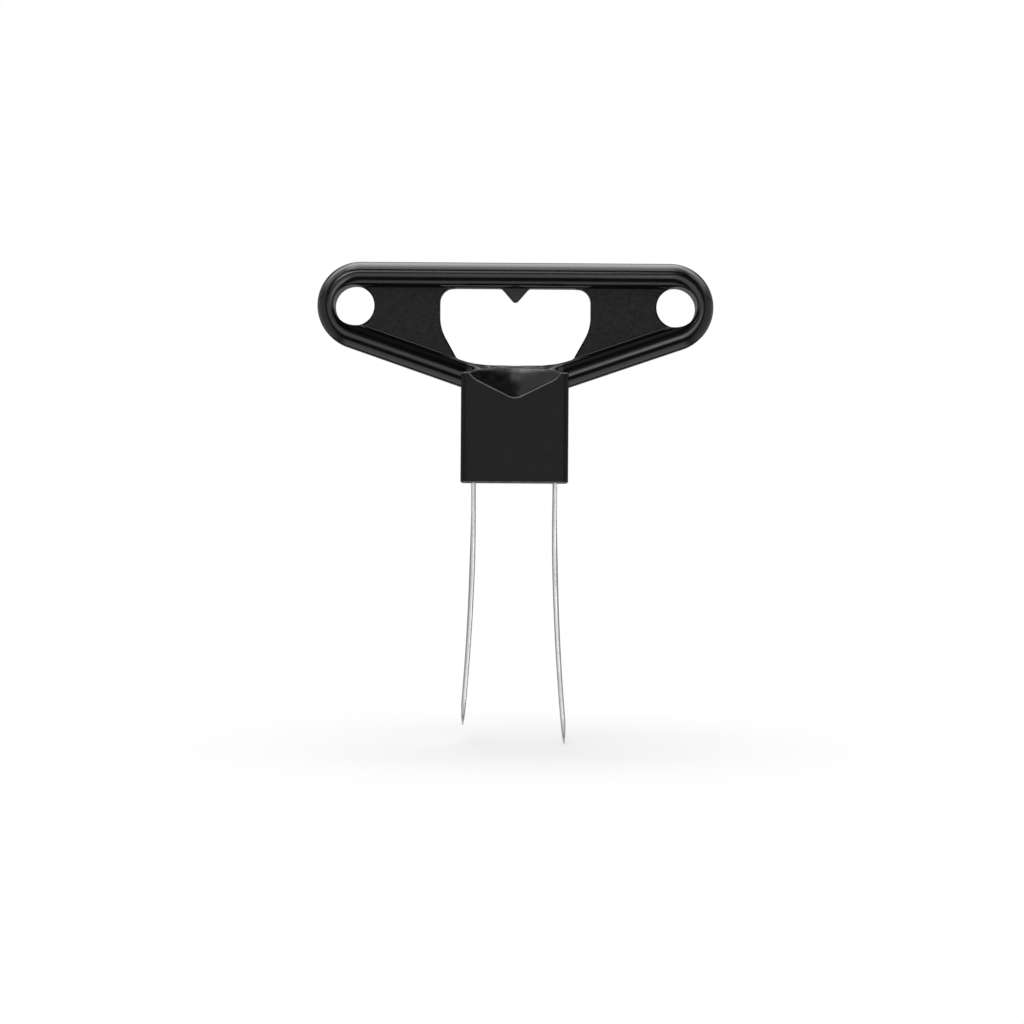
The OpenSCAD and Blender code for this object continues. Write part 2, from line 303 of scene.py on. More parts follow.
def handle_plan(x, z):
    """What depends on X and Z alone: centre line, loop, opening, tooth and eye distances."""
    ax = np.abs(x)
    top = np.hypot(np.maximum(ax - BEND_X, 0), z - TOP_BAR_Z)
    dx, dz = ax - BEND_X, z - BEND_Z
    round_r = np.hypot(dx, dz)
    angle = np.arctan2(dz, dx)
    in_bend = (angle >= BAR_SLOPE - math.pi / 2) & (angle <= math.pi / 2)
    along = (BAR_START[0] - ax) * BAR_COS + (BAR_START[1] - z) * BAR_SIN
    below = (ax - BAR_START[0]) * BAR_SIN - (z - BAR_START[1]) * BAR_COS
    bar = np.hypot(below, np.maximum(-along, 0))
    bend = np.where(in_bend, np.abs(round_r - BEND_R), np.inf)
    line = np.minimum(np.minimum(top, bar), bend)
    loop = np.where(in_bend, round_r - BEND_R, np.maximum(z - TOP_BAR_Z, below))
    near = (ax < OPENING_W / 2 + OPENING_REACH) & (z > CROWN_Z - OPENING_REACH)
    opening = distance_near(x, z, OPENING, near)
    near = (ax < TOOTH_W / 2 + TOOTH_REACH) & (z > RIM_UNDER_Z - TOOTH_H - TOOTH_REACH)
    tooth = distance_near(x, z, TOOTH, near)
    eye = np.hypot(ax - EYE_X, z - BEND_Z) - EYE_R
    return line, loop, opening, tooth, eye


def neck_block(x, y, z):
    """The upper neck: a block with rounded corners and an arched crown."""
    qx, qy = np.abs(x) - BLOCK_W / 2 + FOLD_R, np.abs(y) - BLOCK_D / 2 + FOLD_R
    sides = np.hypot(np.maximum(qx, 0), np.maximum(qy, 0)) - FOLD_R
    sides = sides + np.minimum(np.maximum(qx, qy), 0)
    crown = np.hypot(x, z - CROWN_Z + CROWN_R) - CROWN_R
    return np.maximum(soft_max(sides, crown, EDGE), SHOULDER_Z - z)


def neck_core(x, y, z):
    """The lower neck between the tangs, with the ridges that the tangs rock on."""
    ax, depth = np.abs(x), np.abs(y) - BLOCK_D / 2
    height = np.maximum(-z, z - SHOULDER_Z - CORE_LAP)
    core = np.maximum(np.maximum(ax - FLANK_X, depth), height)
    ridge = np.maximum(np.hypot(ax - RIDGE_X, z - RIVET_Z) - RIDGE_R, depth)
    return np.minimum(core, ridge)


def saddles(x, y, z):
    """The hollows above the V cuts, front and back, and how far their valley has opened."""
    slope = math.tan(VEE_SLOPE)
    steep = math.sqrt(1 + SADDLE_SLOPE ** 2 + slope ** 2)
    deep = np.clip(BLOCK_D / 2 - np.abs(y), 0, SADDLE_DEEP)
    opened = np.clip(deep / VALLEY_LEN, 0, 1)
    round_x = VALLEY_LOW + (VALLEY_HIGH - VALLEY_LOW) * opened
    valley = np.hypot(x, round_x) - VALLEY_SINK * round_x
    rise = deep * SADDLE_SLOPE - SADDLE_BOW * np.maximum(deep - SADDLE_STRAIGHT, 0) ** 2
    over = (z - SADDLE_Z - rise - valley * slope) / steep
    return np.maximum(np.maximum(-over, np.abs(x) - SLEEVE_W / 2), z - BEND_Z), opened


def handle_solid(x, y, z, plan):
    """Distance to the whole casting, negative inside it."""
    line, loop, opening, tooth, eye = plan
    ay = np.abs(y)
    rim = np.hypot(line, np.maximum(ay - RIM_FLAT, 0)) - RIM_R
    slab = ay - WEB_T / 2
    web = soft_max(np.maximum(slab, loop), -opening, EDGE)
    web = np.minimum(web, soft_max(slab, tooth, EDGE))
    cast = soft_min(rim, web, FILLET)
    up_neck = np.clip((z - NECK_FILLET_Z) / NECK_FILLET_RISE, 0, 1)
    cast = soft_min(cast, neck_block(x, y, z), NECK_FILLET + NECK_FILLET_GAIN * up_neck)
    hollow, opened = saddles(x, y, z)
    cast = soft_max(cast, -hollow, SADDLE_EDGE + (CROWN_EDGE - SADDLE_EDGE) * opened)
    cast = np.minimum(cast, neck_core(x, y, z))
    cast = np.maximum(cast, RIVET_BORE_R - np.hypot(ay - RIVET_Y, z - RIVET_Z))
    return soft_max(cast, -eye, EDGE)


def handle_field(p):
    x, y, z = p[:, 0], p[:, 1], p[:, 2]
    return handle_solid(x, y, z, handle_plan(x, z))


def gradient(field, p):
    out = np.empty_like(p)
    for axis in range(3):
        step = np.zeros(3)
        step[axis] = GRADIENT_REACH
        out[:, axis] = (field(p + step) - field(p - step)) / (2 * GRADIENT_REACH)
    return out


def surface_net(values, low, step):
    """One vertex in each cell that the surface crosses, and a quad round each crossed edge."""
    inside = values < 0
    shape = np.array(values.shape) - 1
    corners = [(i, j, k) for i in (0, 1) for j in (0, 1) for k in (0, 1)]
    count = np.zeros(shape, np.int8)
    for i, j, k in corners:
        count += inside[i:i + shape[0], j:j + shape[1], k:k + shape[2]]
    cells = np.argwhere((count > 0) & (count < len(corners)))
    total = np.zeros((len(cells), 3))
    hits = np.zeros(len(cells))
    for a in corners:
        for axis in range(3):
            if a[axis]:
                continue
            b = list(a)
            b[axis] = 1
            va = values[tuple((cells + a).T)]
            vb = values[tuple((cells + b).T)]
            hit = (va < 0) != (vb < 0)
            t = np.where(hit, va / np.where(hit, va - vb, 1), 0)
            point = np.tile(np.array(a, float), (len(cells), 1))
            point[:, axis] += t
            total += point * hit[:, None]
            hits += hit
    points = low + step * (cells + total / hits[:, None])
    index = np.full(shape, -1, np.int64)
    index[tuple(cells.T)] = np.arange(len(cells))
    quads = []
    for axis in range(3):
        u, v = (axis + 1) % 3, (axis + 2) % 3
        first = np.take(inside, range(0, values.shape[axis] - 1), axis)
        second = np.take(inside, range(1, values.shape[axis]), axis)
        for flag, order in ((first & ~second, 1), (~first & second, -1)):
            edge = np.argwhere(flag)
            ring = []
            for du, dv in ((-1, -1), (0, -1), (0, 0), (-1, 0))[::order]:
                cell = edge.copy()
                cell[:, u] += du
                cell[:, v] += dv
                ring.append(index[tuple(cell.T)])
            quads.append(np.stack(ring, axis=1))
    return points, np.concatenate(quads)


def settle(points, quads, field, step):
    """Evens out the vertices along the surface and puts them exactly on it."""
    pairs = np.concatenate([quads[:, [i, (i + 1) % 4]] for i in range(4)])
    degree = np.bincount(pairs.ravel(), minlength=len(points))[:, None]
    for relax in RELAX_SHARES:
        if relax:
            mean = np.zeros_like(points)
            np.add.at(mean, pairs[:, 0], points[pairs[:, 1]])
            np.add.at(mean, pairs[:, 1], points[pairs[:, 0]])
            points = points + relax * (mean / degree - points)
        slope = gradient(field, points)
        size = np.maximum((slope ** 2).sum(1), LEAST_SLOPE)
        move = -(field(points) / size)[:, None] * slope
        length = np.maximum(np.linalg.norm(move, axis=1), TINY)
        points = points + move * np.minimum(1, LONGEST_MOVE * step / length)[:, None]
    return points, gradient(field, points)


# Pieces
def piece(name, points_mm, faces, body, material, node):
    mesh = bpy.data.meshes.new(name)
    points = (np.asarray(points_mm, float) * MM).tolist()
    mesh.from_pydata(points, [], [list(f) for f in faces])
    mesh.validate()
    mesh.update()
    mesh.shade_smooth()
    obj = bpy.data.objects.new(name, mesh)
    scene.collection.objects.link(obj)
    obj.data.materials.append(material)
    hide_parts(node)
    if body:
        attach(obj, body)
    return obj


def cast_handle(material):
    low = np.array([-HANDLE_W / 2, -BLOCK_D / 2, 0]) - GRID_MARGIN
    high = np.array([HANDLE_W / 2, BLOCK_D / 2, HANDLE_TOP]) + GRID_MARGIN
    nx, ny, nz = np.ceil((high - low) / GRID_STEP).astype(int) + 1
    xs, zs = low[0] + GRID_STEP * np.arange(nx), low[2] + GRID_STEP * np.arange(nz)
    x, z = np.meshgrid(xs, zs, indexing="ij")
    plan = handle_plan(x, z)
    values = np.empty((nx, ny, nz), np.float32)
    for j in range(ny):
        y = np.full(x.shape, low[1] + GRID_STEP * j)
        values[:, j, :] = handle_solid(x, y, z, plan)
    points, quads = surface_net(values, low, GRID_STEP)
    points, normals = settle(points, quads, handle_field, GRID_STEP)
    obj = piece("cast_handle", points, quads, "handle", material, "handle_frame")
    normals /= np.maximum(np.linalg.norm(normals, axis=1), TINY)[:, None]
    obj.data.normals_split_custom_set_from_vertices(normals.tolist())


def vee_side_points():
    """The right side of the V cut from its tip to the shoulder, as X and Z."""
    slope, end = math.degrees(VEE_SLOPE), math.degrees(VEE_END_SLOPE)
    lip_x = VEE_HALF - VEE_LIP_R * math.sin(VEE_END_SLOPE)
    lip_z = SLEEVE_H + VEE_LIP_R * math.cos(VEE_END_SLOPE)
    return np.concatenate([
        arc(0, VEE_Z + VEE_TIP_R, VEE_TIP_R, -90, slope - 90, ARC_STEPS),
        arc(lip_x, lip_z, VEE_LIP_R, slope - 90, end - 90, VEE_LIP_STEPS),
    ])


def rounded_plate(outline, thickness, edge_r):
    """A closed flat plate over an outline in X and Z; the faces of its rounded edge are marked."""
    outline = np.array(outline)
    ahead = np.roll(outline, -1, axis=0) - outline
    ahead /= np.linalg.norm(ahead, axis=1)[:, None]
    inward = np.stack([ahead[:, 1], -ahead[:, 0]], axis=1)
    before = np.roll(inward, 1, axis=0)
    miter = (before + inward) / (1 + (before * inward).sum(axis=1))[:, None]
    turns = np.radians(np.linspace(0, 90, SHEET_EDGE_RINGS))
    insets = edge_r * (1 - np.sin(turns))
    depths = thickness / 2 - edge_r * (1 - np.cos(turns))
    bm = bmesh.new()
    mark = bm.faces.layers.float.new("rounded")
    rings = []
    for inset, depth in list(zip(insets, depths)) + list(zip(insets, -depths))[::-1]:
        rings.append([bm.verts.new((u, depth, z)) for u, z in outline + inset * miter])
    bm.faces.new(rings[0])
    bm.faces.new(rings[-1][::-1])
    for upper, lower in zip(rings, rings[1:]):
        for i in range(len(outline)):
            face = bm.faces.new([upper[i - 1], lower[i - 1], lower[i], upper[i]])
            face[mark] = 1.0
    bmesh.ops.recalc_face_normals(bm, faces=bm.faces[:])
    return bm


def folded_sleeve(material):
    """A flat sheet with its cut-outs, folded round the neck."""
    mid_r = FOLD_R - SHEET_T / 2
    half_w, half_d = SLEEVE_W / 2 - FOLD_R, SLEEVE_D / 2 - FOLD_R
    bend = mid_r * math.pi / 2
    # Runs of the sheet from the seam: half the back, side, front, side, half the back,
    # with a bend between one and the next
    runs = [half_w, bend, 2 * half_d, bend, 2 * half_w, bend, 2 * half_d, bend, half_w]
    starts = np.concatenate([[0], np.cumsum(runs)])
    total = starts[-1]
    front = total / 2

    def fold(u):
        """Middle of the sheet and its outward direction at a length along it."""
        run = min(int(np.searchsorted(starts, u, side="right")) - 1, len(runs) - 1)
        t = u - starts[run]
        corner = run // 2
        side = math.radians(90 - 90 * corner)
        if run % 2:
            side -= t / mid_r
            cx = half_w if corner in (0, 1) else -half_w
            cy = half_d if corner in (0, 3) else -half_d
            return (cx + mid_r * math.cos(side), cy + mid_r * math.sin(side)), side
        flats = {
            0: (t, half_d + mid_r),
            2: (half_w + mid_r, half_d - t),
            4: (half_w - t, -half_d - mid_r),
            6: (-half_w - mid_r, -half_d + t),
            8: (-half_w + t, half_d + mid_r),
        }
        return flats[run], side

    # Upper edge of the flat sheet, from the seam to the middle of the front, and then mirrored
    vee = vee_side_points()
    side_mid = starts[2] + half_d
    top = [(SEAM_W / 2, float(np.interp(SEAM_W / 2, vee[:, 0], vee[:, 1])))]
    top += [(px, pz) for px, pz in vee if px > SEAM_W / 2]
    top += [(side_mid - NOTCH_HALF, SLEEVE_H), (side_mid - NOTCH_HALF, SIDE_WALL_Z)]
    top += [(side_mid + NOTCH_HALF, SIDE_WALL_Z), (side_mid + NOTCH_HALF, SLEEVE_H)]
    top += [(front - px, pz) for px, pz in vee[::-1]]
    top += [(total - u, z) for u, z in top[-2::-1]]
    foot = [(total - SEAM_W / 2, 0.0), (SEAM_W / 2, 0.0)]
    bm = rounded_plate(foot + top, SHEET_T, SHEET_EDGE_R)
    cuts = []
    for run in range(1, len(runs), 2):
        cuts += [starts[run] + runs[run] * i / FOLD_CUTS for i in range(FOLD_CUTS + 1)]
    cuts += list(np.arange(FLAT_CUT_START, total, FLAT_CUT_STEP))
    for u in cuts:
        bmesh.ops.bisect_plane(
            bm, geom=bm.verts[:] + bm.edges[:] + bm.faces[:], dist=CUT_TOLERANCE,
            plane_co=(u, 0, 0), plane_no=(1, 0, 0))
    for vert in bm.verts:
        (cx, cy), side = fold(vert.co.x)
        out = vert.co.y
        vert.co = (cx + out * math.cos(side), cy + out * math.sin(side), vert.co.z)
    bmesh.ops.recalc_face_normals(bm, faces=bm.faces[:])
    bm.normal_update()
    bm.verts.index_update()
    # The rounded edge takes its normals from the flat faces beside it where there are any
    mark = bm.faces.layers.float["rounded"]
    normals = []
    for vert in bm.verts:
        flat = [f for f in vert.link_faces if f[mark] == 0] or vert.link_faces
        normals.append(sum((f.normal * f.calc_area() for f in flat), Vector()).normalized())
    points = [vert.co[:] for vert in bm.verts]
    faces = [[v.index for v in face.verts] for face in bm.faces]
    marks = [face[mark] for face in bm.faces]
    bm.free()
    obj = piece("folded_sleeve", points, faces, "handle", material, "neck_sleeve")
    obj.data.attributes.new("rounded", "FLOAT", "FACE").data.foreach_set("value", marks)
    obj.data.normals_split_custom_set_from_vertices(normals)


def blade_levels(length):
    """Heights of the blade's rows from the tang's end to the tip."""
    tip_r = BLADE_TIP_W / 2
    tip_z = tip_r - length
    turns = np.linspace(0, TIP_TURN, TIP_ROWS)[1:]
    levels = list(TANG_LEVELS)
    levels += list(np.linspace(-STRAIGHT, tip_z, PRONG_ROWS)[1:])
    levels += [tip_z - tip_r * math.sin(math.radians(turn)) for turn in turns]
    return levels


def blade_section(length, side, z):
    """A closed row of points round the blade at one height: outer face, then inner face."""
    tip_r = BLADE_TIP_W / 2
    tip_z = tip_r - length
    half_w = BLADE_W / 2
    if z < -STRAIGHT:
        half_w += (tip_r - BLADE_W / 2) * min((-STRAIGHT - z) / (-STRAIGHT - tip_z), 1)
    if z < tip_z:
        half_w = math.sqrt(max(tip_r ** 2 - (z - tip_z) ** 2, TIP_LEAST_HALF ** 2))
    insets = [e * min(1, half_w / NARROW_HALF) for e in BLADE_INSETS]
    ys = [e - half_w for e in insets]
    ys += list(np.linspace(insets[-1] - half_w, half_w - insets[-1], FACE_COLUMNS)[1:-1])
    ys += [half_w - e for e in insets[::-1]]
    # The hollow grows smoothly from the neck down, the bow starts below the straight part
    dish = min(max(-z / HOLLOW_LEN, 0), 1)
    dish = dish * dish * (3 - 2 * dish)
    bow = BOW_R - math.sqrt(BOW_R ** 2 - min(z + STRAIGHT, 0) ** 2)
    half_t = BLADE_T / 2
    if z > TANG_LEN - TANG_END_LEN:
        half_t -= TANG_END_THIN * (z - TANG_LEN + TANG_END_LEN) / TANG_END_LEN
    # The tip is ground flat on its outer face
    bow_angle = math.asin((length - STRAIGHT) / BOW_R)
    bevel_angle = math.atan2(BLADE_T - BEVEL_EDGE, BEVEL_LEN)
    tip_bow = BOW_R * (1 - math.cos(bow_angle))
    tip_in_x = BLADE_PITCH / 2 - BLADE_T / 2 + tip_bow + DISH_SAG / 2
    ground = tip_in_x + BEVEL_EDGE + (z + length) * math.tan(bevel_angle - bow_angle)
    r = BLADE_EDGE_R
    outer, inner = [], []
    for y in ys:
        middle = BLADE_PITCH / 2 + bow + dish * (DISH_SAG / 2 - y * y / (2 * DISH_R))
        e = min(half_w - abs(y), r)
        half = half_t - r + math.sqrt(max(r ** 2 - (r - e) ** 2, 0))
        low = middle - half
        outer.append((side * max(min(middle + half, ground), low + BLADE_LEAST_T), y, z))
        inner.append((side * low, y, z))
    return outer + inner[::-1]


def spring_blade(name, length, side, node, material):
    """Rows of closed sections down the blade: tang, hollow prong, ground round tip."""
    rows = [blade_section(length, side, z) for z in blade_levels(length)]
    count = len(rows[0])
    points = [p for row in rows for p in row]
    last = (len(rows) - 1) * count
    faces = [list(range(count)), list(range(last, last + count))[::-1]]
    for start in range(0, last, count):
        for i in range(count):
            j = (i + 1) % count
            faces.append([start + i, start + count + i, start + count + j, start + j])
    obj = piece(name, points, faces, None, material, node)
    fix = bmesh.new()
    fix.from_mesh(obj.data)
    bmesh.ops.recalc_face_normals(fix, faces=fix.faces[:])
    fix.to_mesh(obj.data)
    fix.free()
    obj.data.set_sharp_from_angle(angle=BLADE_SHARP)
    ground = obj.data.attributes.new("ground", "FLOAT", "POINT")
    for vert, mark in zip(obj.data.vertices, ground.data):
        above_tip = vert.co.z / MM + length
        mark.value = min(max((BEVEL_LEN + GROUND_OVER - above_tip) / GROUND_FADE, 0), 1)
    x = side * BLADE_PITCH / 2 * MM
    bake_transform(obj, "handle", node, start=(x, 0, RIVET_Z * MM), end=(x, 0, -length * MM))


# Node trees
class Nodes:
    """A node tree, with short names for the nodes that materials and the world share."""

    def __init__(self, tree):
        self.tree = tree

    def new(self, kind):
        return self.tree.nodes.new("ShaderNode" + kind)

    def feed(self, socket, value):
        """A number or a colour is set on the socket itself, an output is linked to it."""
        if isinstance(value, tuple):
            socket.default_value = (*value, 1)
        elif isinstance(value, (int, float)):
            socket.default_value = value
        else:
            self.tree.links.new(value, socket)

    def part(self, vector, axis):
        node = self.new("SeparateXYZ")
        self.feed(node.inputs["Vector"], vector)
        return node.outputs[axis]

    def math(self, kind, *values):
        node = self.new("Math")
        node.operation = kind
        for socket, value in zip(node.inputs, values):
            self.feed(socket, value)
        return node.outputs["Value"]

    def product(self, first, *others):
        for other in others:
            first = self.math("MULTIPLY", first, other)
        return first

    def highest(self, first, *others):
        for other in others:
            first = self.math("MAXIMUM", first, other)
        return first

    def spread(self, value, limits, results):
        """Goes smoothly from one result to the other between two limits."""
        node = self.new("MapRange")
        node.interpolation_type = "SMOOTHSTEP"
        keys = ("From Min", "From Max", "To Min", "To Max")
        for key, number in zip(keys, (*limits, *results)):
            node.inputs[key].default_value = number
        self.feed(node.inputs["Value"], value)
        return node.outputs["Result"]

    def rise(self, value, limits):
        return self.spread(value, limits, (0, 1))

    def fall(self, value, limits):
        return self.spread(value, limits, (1, 0))

    def band(self, value, limits):
        """Rises between the first two limits and falls between the last two."""
        return self.product(self.rise(value, limits[:2]), self.fall(value, limits[2:]))

    def seen(self):
        """1 for what the camera sees, straight or through something clear."""
        path = self.new("LightPath").outputs
        return self.highest(path["Is Camera Ray"], path["Is Transmission Ray"])

    def blend(self, factor, a, b):
        """A shader that goes from a to b."""
        node = self.new("MixShader")
        for socket, value in zip(node.inputs, (factor, a, b)):
            self.feed(socket, value)
        return node.outputs["Shader"]


class Shader(Nodes):
    """A material's node tree."""

    def __init__(self, name):
        self.material = bpy.data.materials.new(name)
        self.material.use_nodes = True
        super().__init__(self.material.node_tree)
        self.main = self.tree.nodes["Principled BSDF"]
        self.place = self.new("TexCoord").outputs["Object"]

    def give(self, key, value):
        """Feeds an input of the material's main node."""
        self.feed(self.main.inputs[key], value)

    def noise(self, scale, detail, stretch=None):
        """Noise from 0 to 1; its scale is in waves to the metre."""
        node = self.new("TexNoise")
        node.inputs["Scale"].default_value = scale
        node.inputs["Detail"].default_value = detail
        place = self.place
        if stretch:
            mapping = self.new("Mapping")
            mapping.inputs["Scale"].default_value = stretch
            self.feed(mapping.inputs["Vector"], place)
            place = mapping.outputs["Vector"]
        self.feed(node.inputs["Vector"], place)
        return node.outputs["Fac"]

    def mix(self, factor, a, b):
        """A number that goes from a to b."""
        node = self.new("Mix")
        numbers = [s for s in node.inputs if s.type == "VALUE"]
        for socket, value in zip(numbers, (factor, a, b)):
            self.feed(socket, value)
        return node.outputs["Result"]

    def colours(self, factor, a, b):
        """A colour that goes from a to b."""
        node = self.new("Mix")
        node.data_type = "RGBA"
        self.feed(node.inputs["Factor"], factor)
        for socket, value in zip([s for s in node.inputs if s.type == "RGBA"], (a, b)):
            self.feed(socket, value)
        return [s for s in node.outputs if s.type == "RGBA"][0]

    def bump(self, height, distance_mm, strength, under=None):
        """A bumped normal, on top of another one where it is given."""
        node = self.new("Bump")
        node.inputs["Distance"].default_value = distance_mm * MM
        self.feed(node.inputs["Strength"], strength)
        self.feed(node.inputs["Height"], height)
        if under is not None:
            self.feed(node.inputs["Normal"], under)
        return node.outputs["Normal"]

    def along(self, axis):
        """Place along an axis, in metres."""
        return self.part(self.place, axis)

    def facing(self, axis):
        """How far the surface faces along an axis, from -1 to 1."""
        return self.part(self.new("NewGeometry").outputs["Normal"], axis)

    def convexity(self):
        """0.5 on flat faces, more on outer edges, less in inner corners."""
        return self.new("NewGeometry").outputs["Pointiness"]

    def marked(self, name):
        node = self.new("Attribute")
        node.attribute_name = name
        return node.outputs["Fac"]


# Materials
def mm(*lengths):
    """Lengths in millimetres as the metres of a node tree."""
    return tuple(length * MM for length in lengths)


# Where the casting's paint changes: depths, distances from the middle, heights
WEB_DEPTH = mm(1.52, 1.60)
RUBBED_DEPTH = mm(1.6, 1.9)
TOOTH_SIDE = mm(3.2, 4.0)
CREST_SIDE = mm(6.8, 8.6)
NECK_SIDE = mm(11.6, 12.4)
FILLET_HIGHLIGHT_END = mm(39.5, 40.5)
CREST_Z = mm(CROWN_Z - 2.0, CROWN_Z - 1.1)
TOP_BAR_FOOT = mm(44.0, 49.0)
TOOTH_FOOT = mm(45.0, 45.5)
# Where a painted highlight line runs along the fillet between the lower bars and the web, measured square to
# the lower bars; their centre line is at BAR_LINE
BAR_LINE = BAR_START[1] * BAR_COS - BAR_START[0] * BAR_SIN
FILLET_HIGHLIGHT_BAND = mm(BAR_LINE + 3.04, BAR_LINE + 3.16, BAR_LINE + 3.34, BAR_LINE + 3.46)
# How far a face looks up, or forwards or backwards
FLANK_UP = (0.06, 0.14)
CORNER_UP = (0.1, 0.5)
HOLLOW_UP = (0.25, 0.55)
CREST_UP = (0.60, 0.74)
WEB_AHEAD = (0.6, 0.9)
SHEARED_AHEAD = (0.4, 0.8)
# Convexity
OUTER_EDGE = (0.52, 0.58)
INNER_CORNER = (0.455, 0.492)
# Parts of a noise's range
MOST = (0.3, 0.7)
MIDDLE = (0.35, 0.65)
LINES = (0.25, 0.75)
UPPER = (0.45, 0.7)
LOWER = (0.3, 0.6)
# Colours, in pairs where a noise goes from one to the other
ENAMEL = (0.0024, 0.0024, 0.0028), (0.0040, 0.0040, 0.0046)
CAST_SKIN = (0.0015, 0.0015, 0.0017), (0.0085, 0.0085, 0.0088)
CORNER_HIGHLIGHT_GREY = (0.045, 0.045, 0.046)
FILLET_HIGHLIGHT_GREY = (0.085, 0.085, 0.087)
WORN_GREY = (0.030, 0.030, 0.031)
SHEET_ENAMEL = (0.0040, 0.0040, 0.0047), (0.0060, 0.0060, 0.0067)
SHEET_EDGE_HIGHLIGHT = (0.125, 0.125, 0.128)
BRIGHT_STEEL = (0.74, 0.745, 0.75), (0.88, 0.885, 0.89)
SHEARED_STEEL = (0.52, 0.525, 0.515)
PLAIN_STEEL = (0.46, 0.46, 0.47), (0.60, 0.60, 0.61)
# Specular levels
ENAMEL_SPECULAR = 0.5
WEB_SPECULAR = 0.24
HOLLOW_SHADE_SPECULAR = 0.08
FLANK_SHADE_SPECULAR = 0.02
SHEET_SPECULAR = 0.18
# Roughness, in pairs where a noise goes from one to the other
ENAMEL_ROUGHNESS = (0.11, 0.19)
WEB_ROUGHNESS = (0.42, 0.56)
WORN_ROUGHNESS = 0.5
SHEET_ROUGHNESS = (0.36, 0.44)
BLADE_ROUGHNESS = (0.24, 0.38)
GROUND_ROUGHNESS = 0.5
RIVET_ROUGHNESS = (0.3, 0.45)
# Direction of the brushing, as waves to the metre along each axis
BRUSHED = (5200, 5200, 45)
STREAKED = (900, 900, 18)


def handle_paint():
    s = Shader("black_enamel_casting")
    depth = s.math("ABSOLUTE", s.along("Y"))
    across = s.math("ABSOLUTE", s.along("X"))
    height = s.along("Z")
    up = s.facing("Z")
    ahead = s.math("ABSOLUTE", s.facing("Y"))
    beside_neck = s.rise(across, NECK_SIDE)
    below_top = s.fall(height, TOP_BAR_FOOT)
    web = s.product(s.rise(ahead, WEB_AHEAD), s.fall(depth, WEB_DEPTH))
    edge_band = s.product(s.fall(depth, RUBBED_DEPTH), s.rise(s.convexity(), OUTER_EDGE))
    worn = s.product(edge_band, s.rise(s.noise(700, 3), UPPER))
    # A painted highlight line in the fillet where the lower bars meet the web, and painted shade on the
    # flank of the bars below it
    above = s.math("SUBTRACT", s.product(height, BAR_COS), s.product(across, BAR_SIN))
    fillet_highlight = s.product(s.band(above, FILLET_HIGHLIGHT_BAND), beside_neck, s.fall(across, FILLET_HIGHLIGHT_END))
    # Painted shade: the upper flank of the lower bars reflects almost nothing
    flank = s.product(below_top, beside_neck, s.rise(up, FLANK_UP))
    # Painted highlight: concave corners near the neck that look up are lighter grey
    corner = s.product(s.fall(s.convexity(), INNER_CORNER), s.rise(up, CORNER_UP))
    corner = s.product(corner, s.fall(across, NECK_SIDE))
    # Painted shade: faces that look up below the top bar, the saddle among them, reflect less, apart from
    # the saddle's crest in the middle
    off_crest = s.highest(
        s.fall(height, CREST_Z), s.rise(across, CREST_SIDE), s.rise(up, CREST_UP))
    hollow = s.product(below_top, s.rise(up, HOLLOW_UP), off_crest)
    tooth = s.product(s.fall(across, TOOTH_SIDE), s.rise(height, TOOTH_FOOT), web)

    tone = s.colours(s.noise(260, 3), *ENAMEL)
    tone = s.colours(web, tone, s.colours(s.rise(s.noise(1100, 4), MIDDLE), *CAST_SKIN))
    for mark, grey in (
            (corner, CORNER_HIGHLIGHT_GREY), (fillet_highlight, FILLET_HIGHLIGHT_GREY), (tooth, WORN_GREY), (worn, WORN_GREY)):
        tone = s.colours(mark, tone, grey)
    s.give("Base Color", tone)
    gloss = s.spread(s.noise(520, 4), MOST, ENAMEL_ROUGHNESS)
    dull = s.spread(s.noise(1500, 3), MOST, WEB_ROUGHNESS)
    s.give("Roughness", s.mix(worn, s.mix(web, gloss, dull), WORN_ROUGHNESS))
    # Painted shade: less specular in the hollows and on the flanks of the lower bars
    mirror = s.mix(hollow, s.mix(web, ENAMEL_SPECULAR, WEB_SPECULAR), HOLLOW_SHADE_SPECULAR)
    s.give("Specular IOR Level", s.mix(flank, mirror, FLANK_SHADE_SPECULAR))
    wave = s.bump(s.noise(150, 2), distance_mm=0.05, strength=0.35)
    peel = s.bump(s.noise(1700, 2), distance_mm=0.012, strength=0.35, under=wave)
    grain = s.bump(s.noise(1500, 4), distance_mm=0.05, strength=s.product(web, 0.7), under=peel)
    s.give("Normal", grain)
    return s.material


def sleeve_paint():
    s = Shader("black_enamel_sheet")
    # Painted highlight: the sheet's rounded edges are lighter, broken up by noise
    edge_band = s.product(s.marked("rounded"), s.spread(s.noise(300, 3), LOWER, (0.5, 1)))
    tone = s.colours(s.noise(220, 3), *SHEET_ENAMEL)
    s.give("Base Color", s.colours(edge_band, tone, SHEET_EDGE_HIGHLIGHT))
    s.give("Specular IOR Level", SHEET_SPECULAR)
    s.give("Roughness", s.spread(s.noise(420, 4), MOST, SHEET_ROUGHNESS))
    wave = s.bump(s.noise(90, 2), distance_mm=0.02, strength=0.15)
    s.give("Normal", s.bump(s.noise(2400, 3), distance_mm=0.016, strength=0.4, under=wave))
    return s.material


def blade_steel():
    s = Shader("bright_spring_steel")
    s.give("Metallic", 1.0)
    lines = s.noise(1.0, 3, BRUSHED)
    streak = s.noise(1.0, 2, STREAKED)
    tone = s.colours(s.product(lines, streak), *BRIGHT_STEEL)
    # The strip's sheared edges are duller than its faces
    sheared = s.rise(s.math("ABSOLUTE", s.facing("Y")), SHEARED_AHEAD)
    s.give("Base Color", s.colours(sheared, tone, SHEARED_STEEL))
    brushed = s.spread(lines, LINES, BLADE_ROUGHNESS)
    s.give("Roughness", s.mix(s.marked("ground"), brushed, GROUND_ROUGHNESS))
    scratches = s.bump(lines, distance_mm=0.004, strength=0.5)
    s.give("Normal", s.bump(s.noise(90, 2), distance_mm=0.02, strength=0.15, under=scratches))
    return s.material


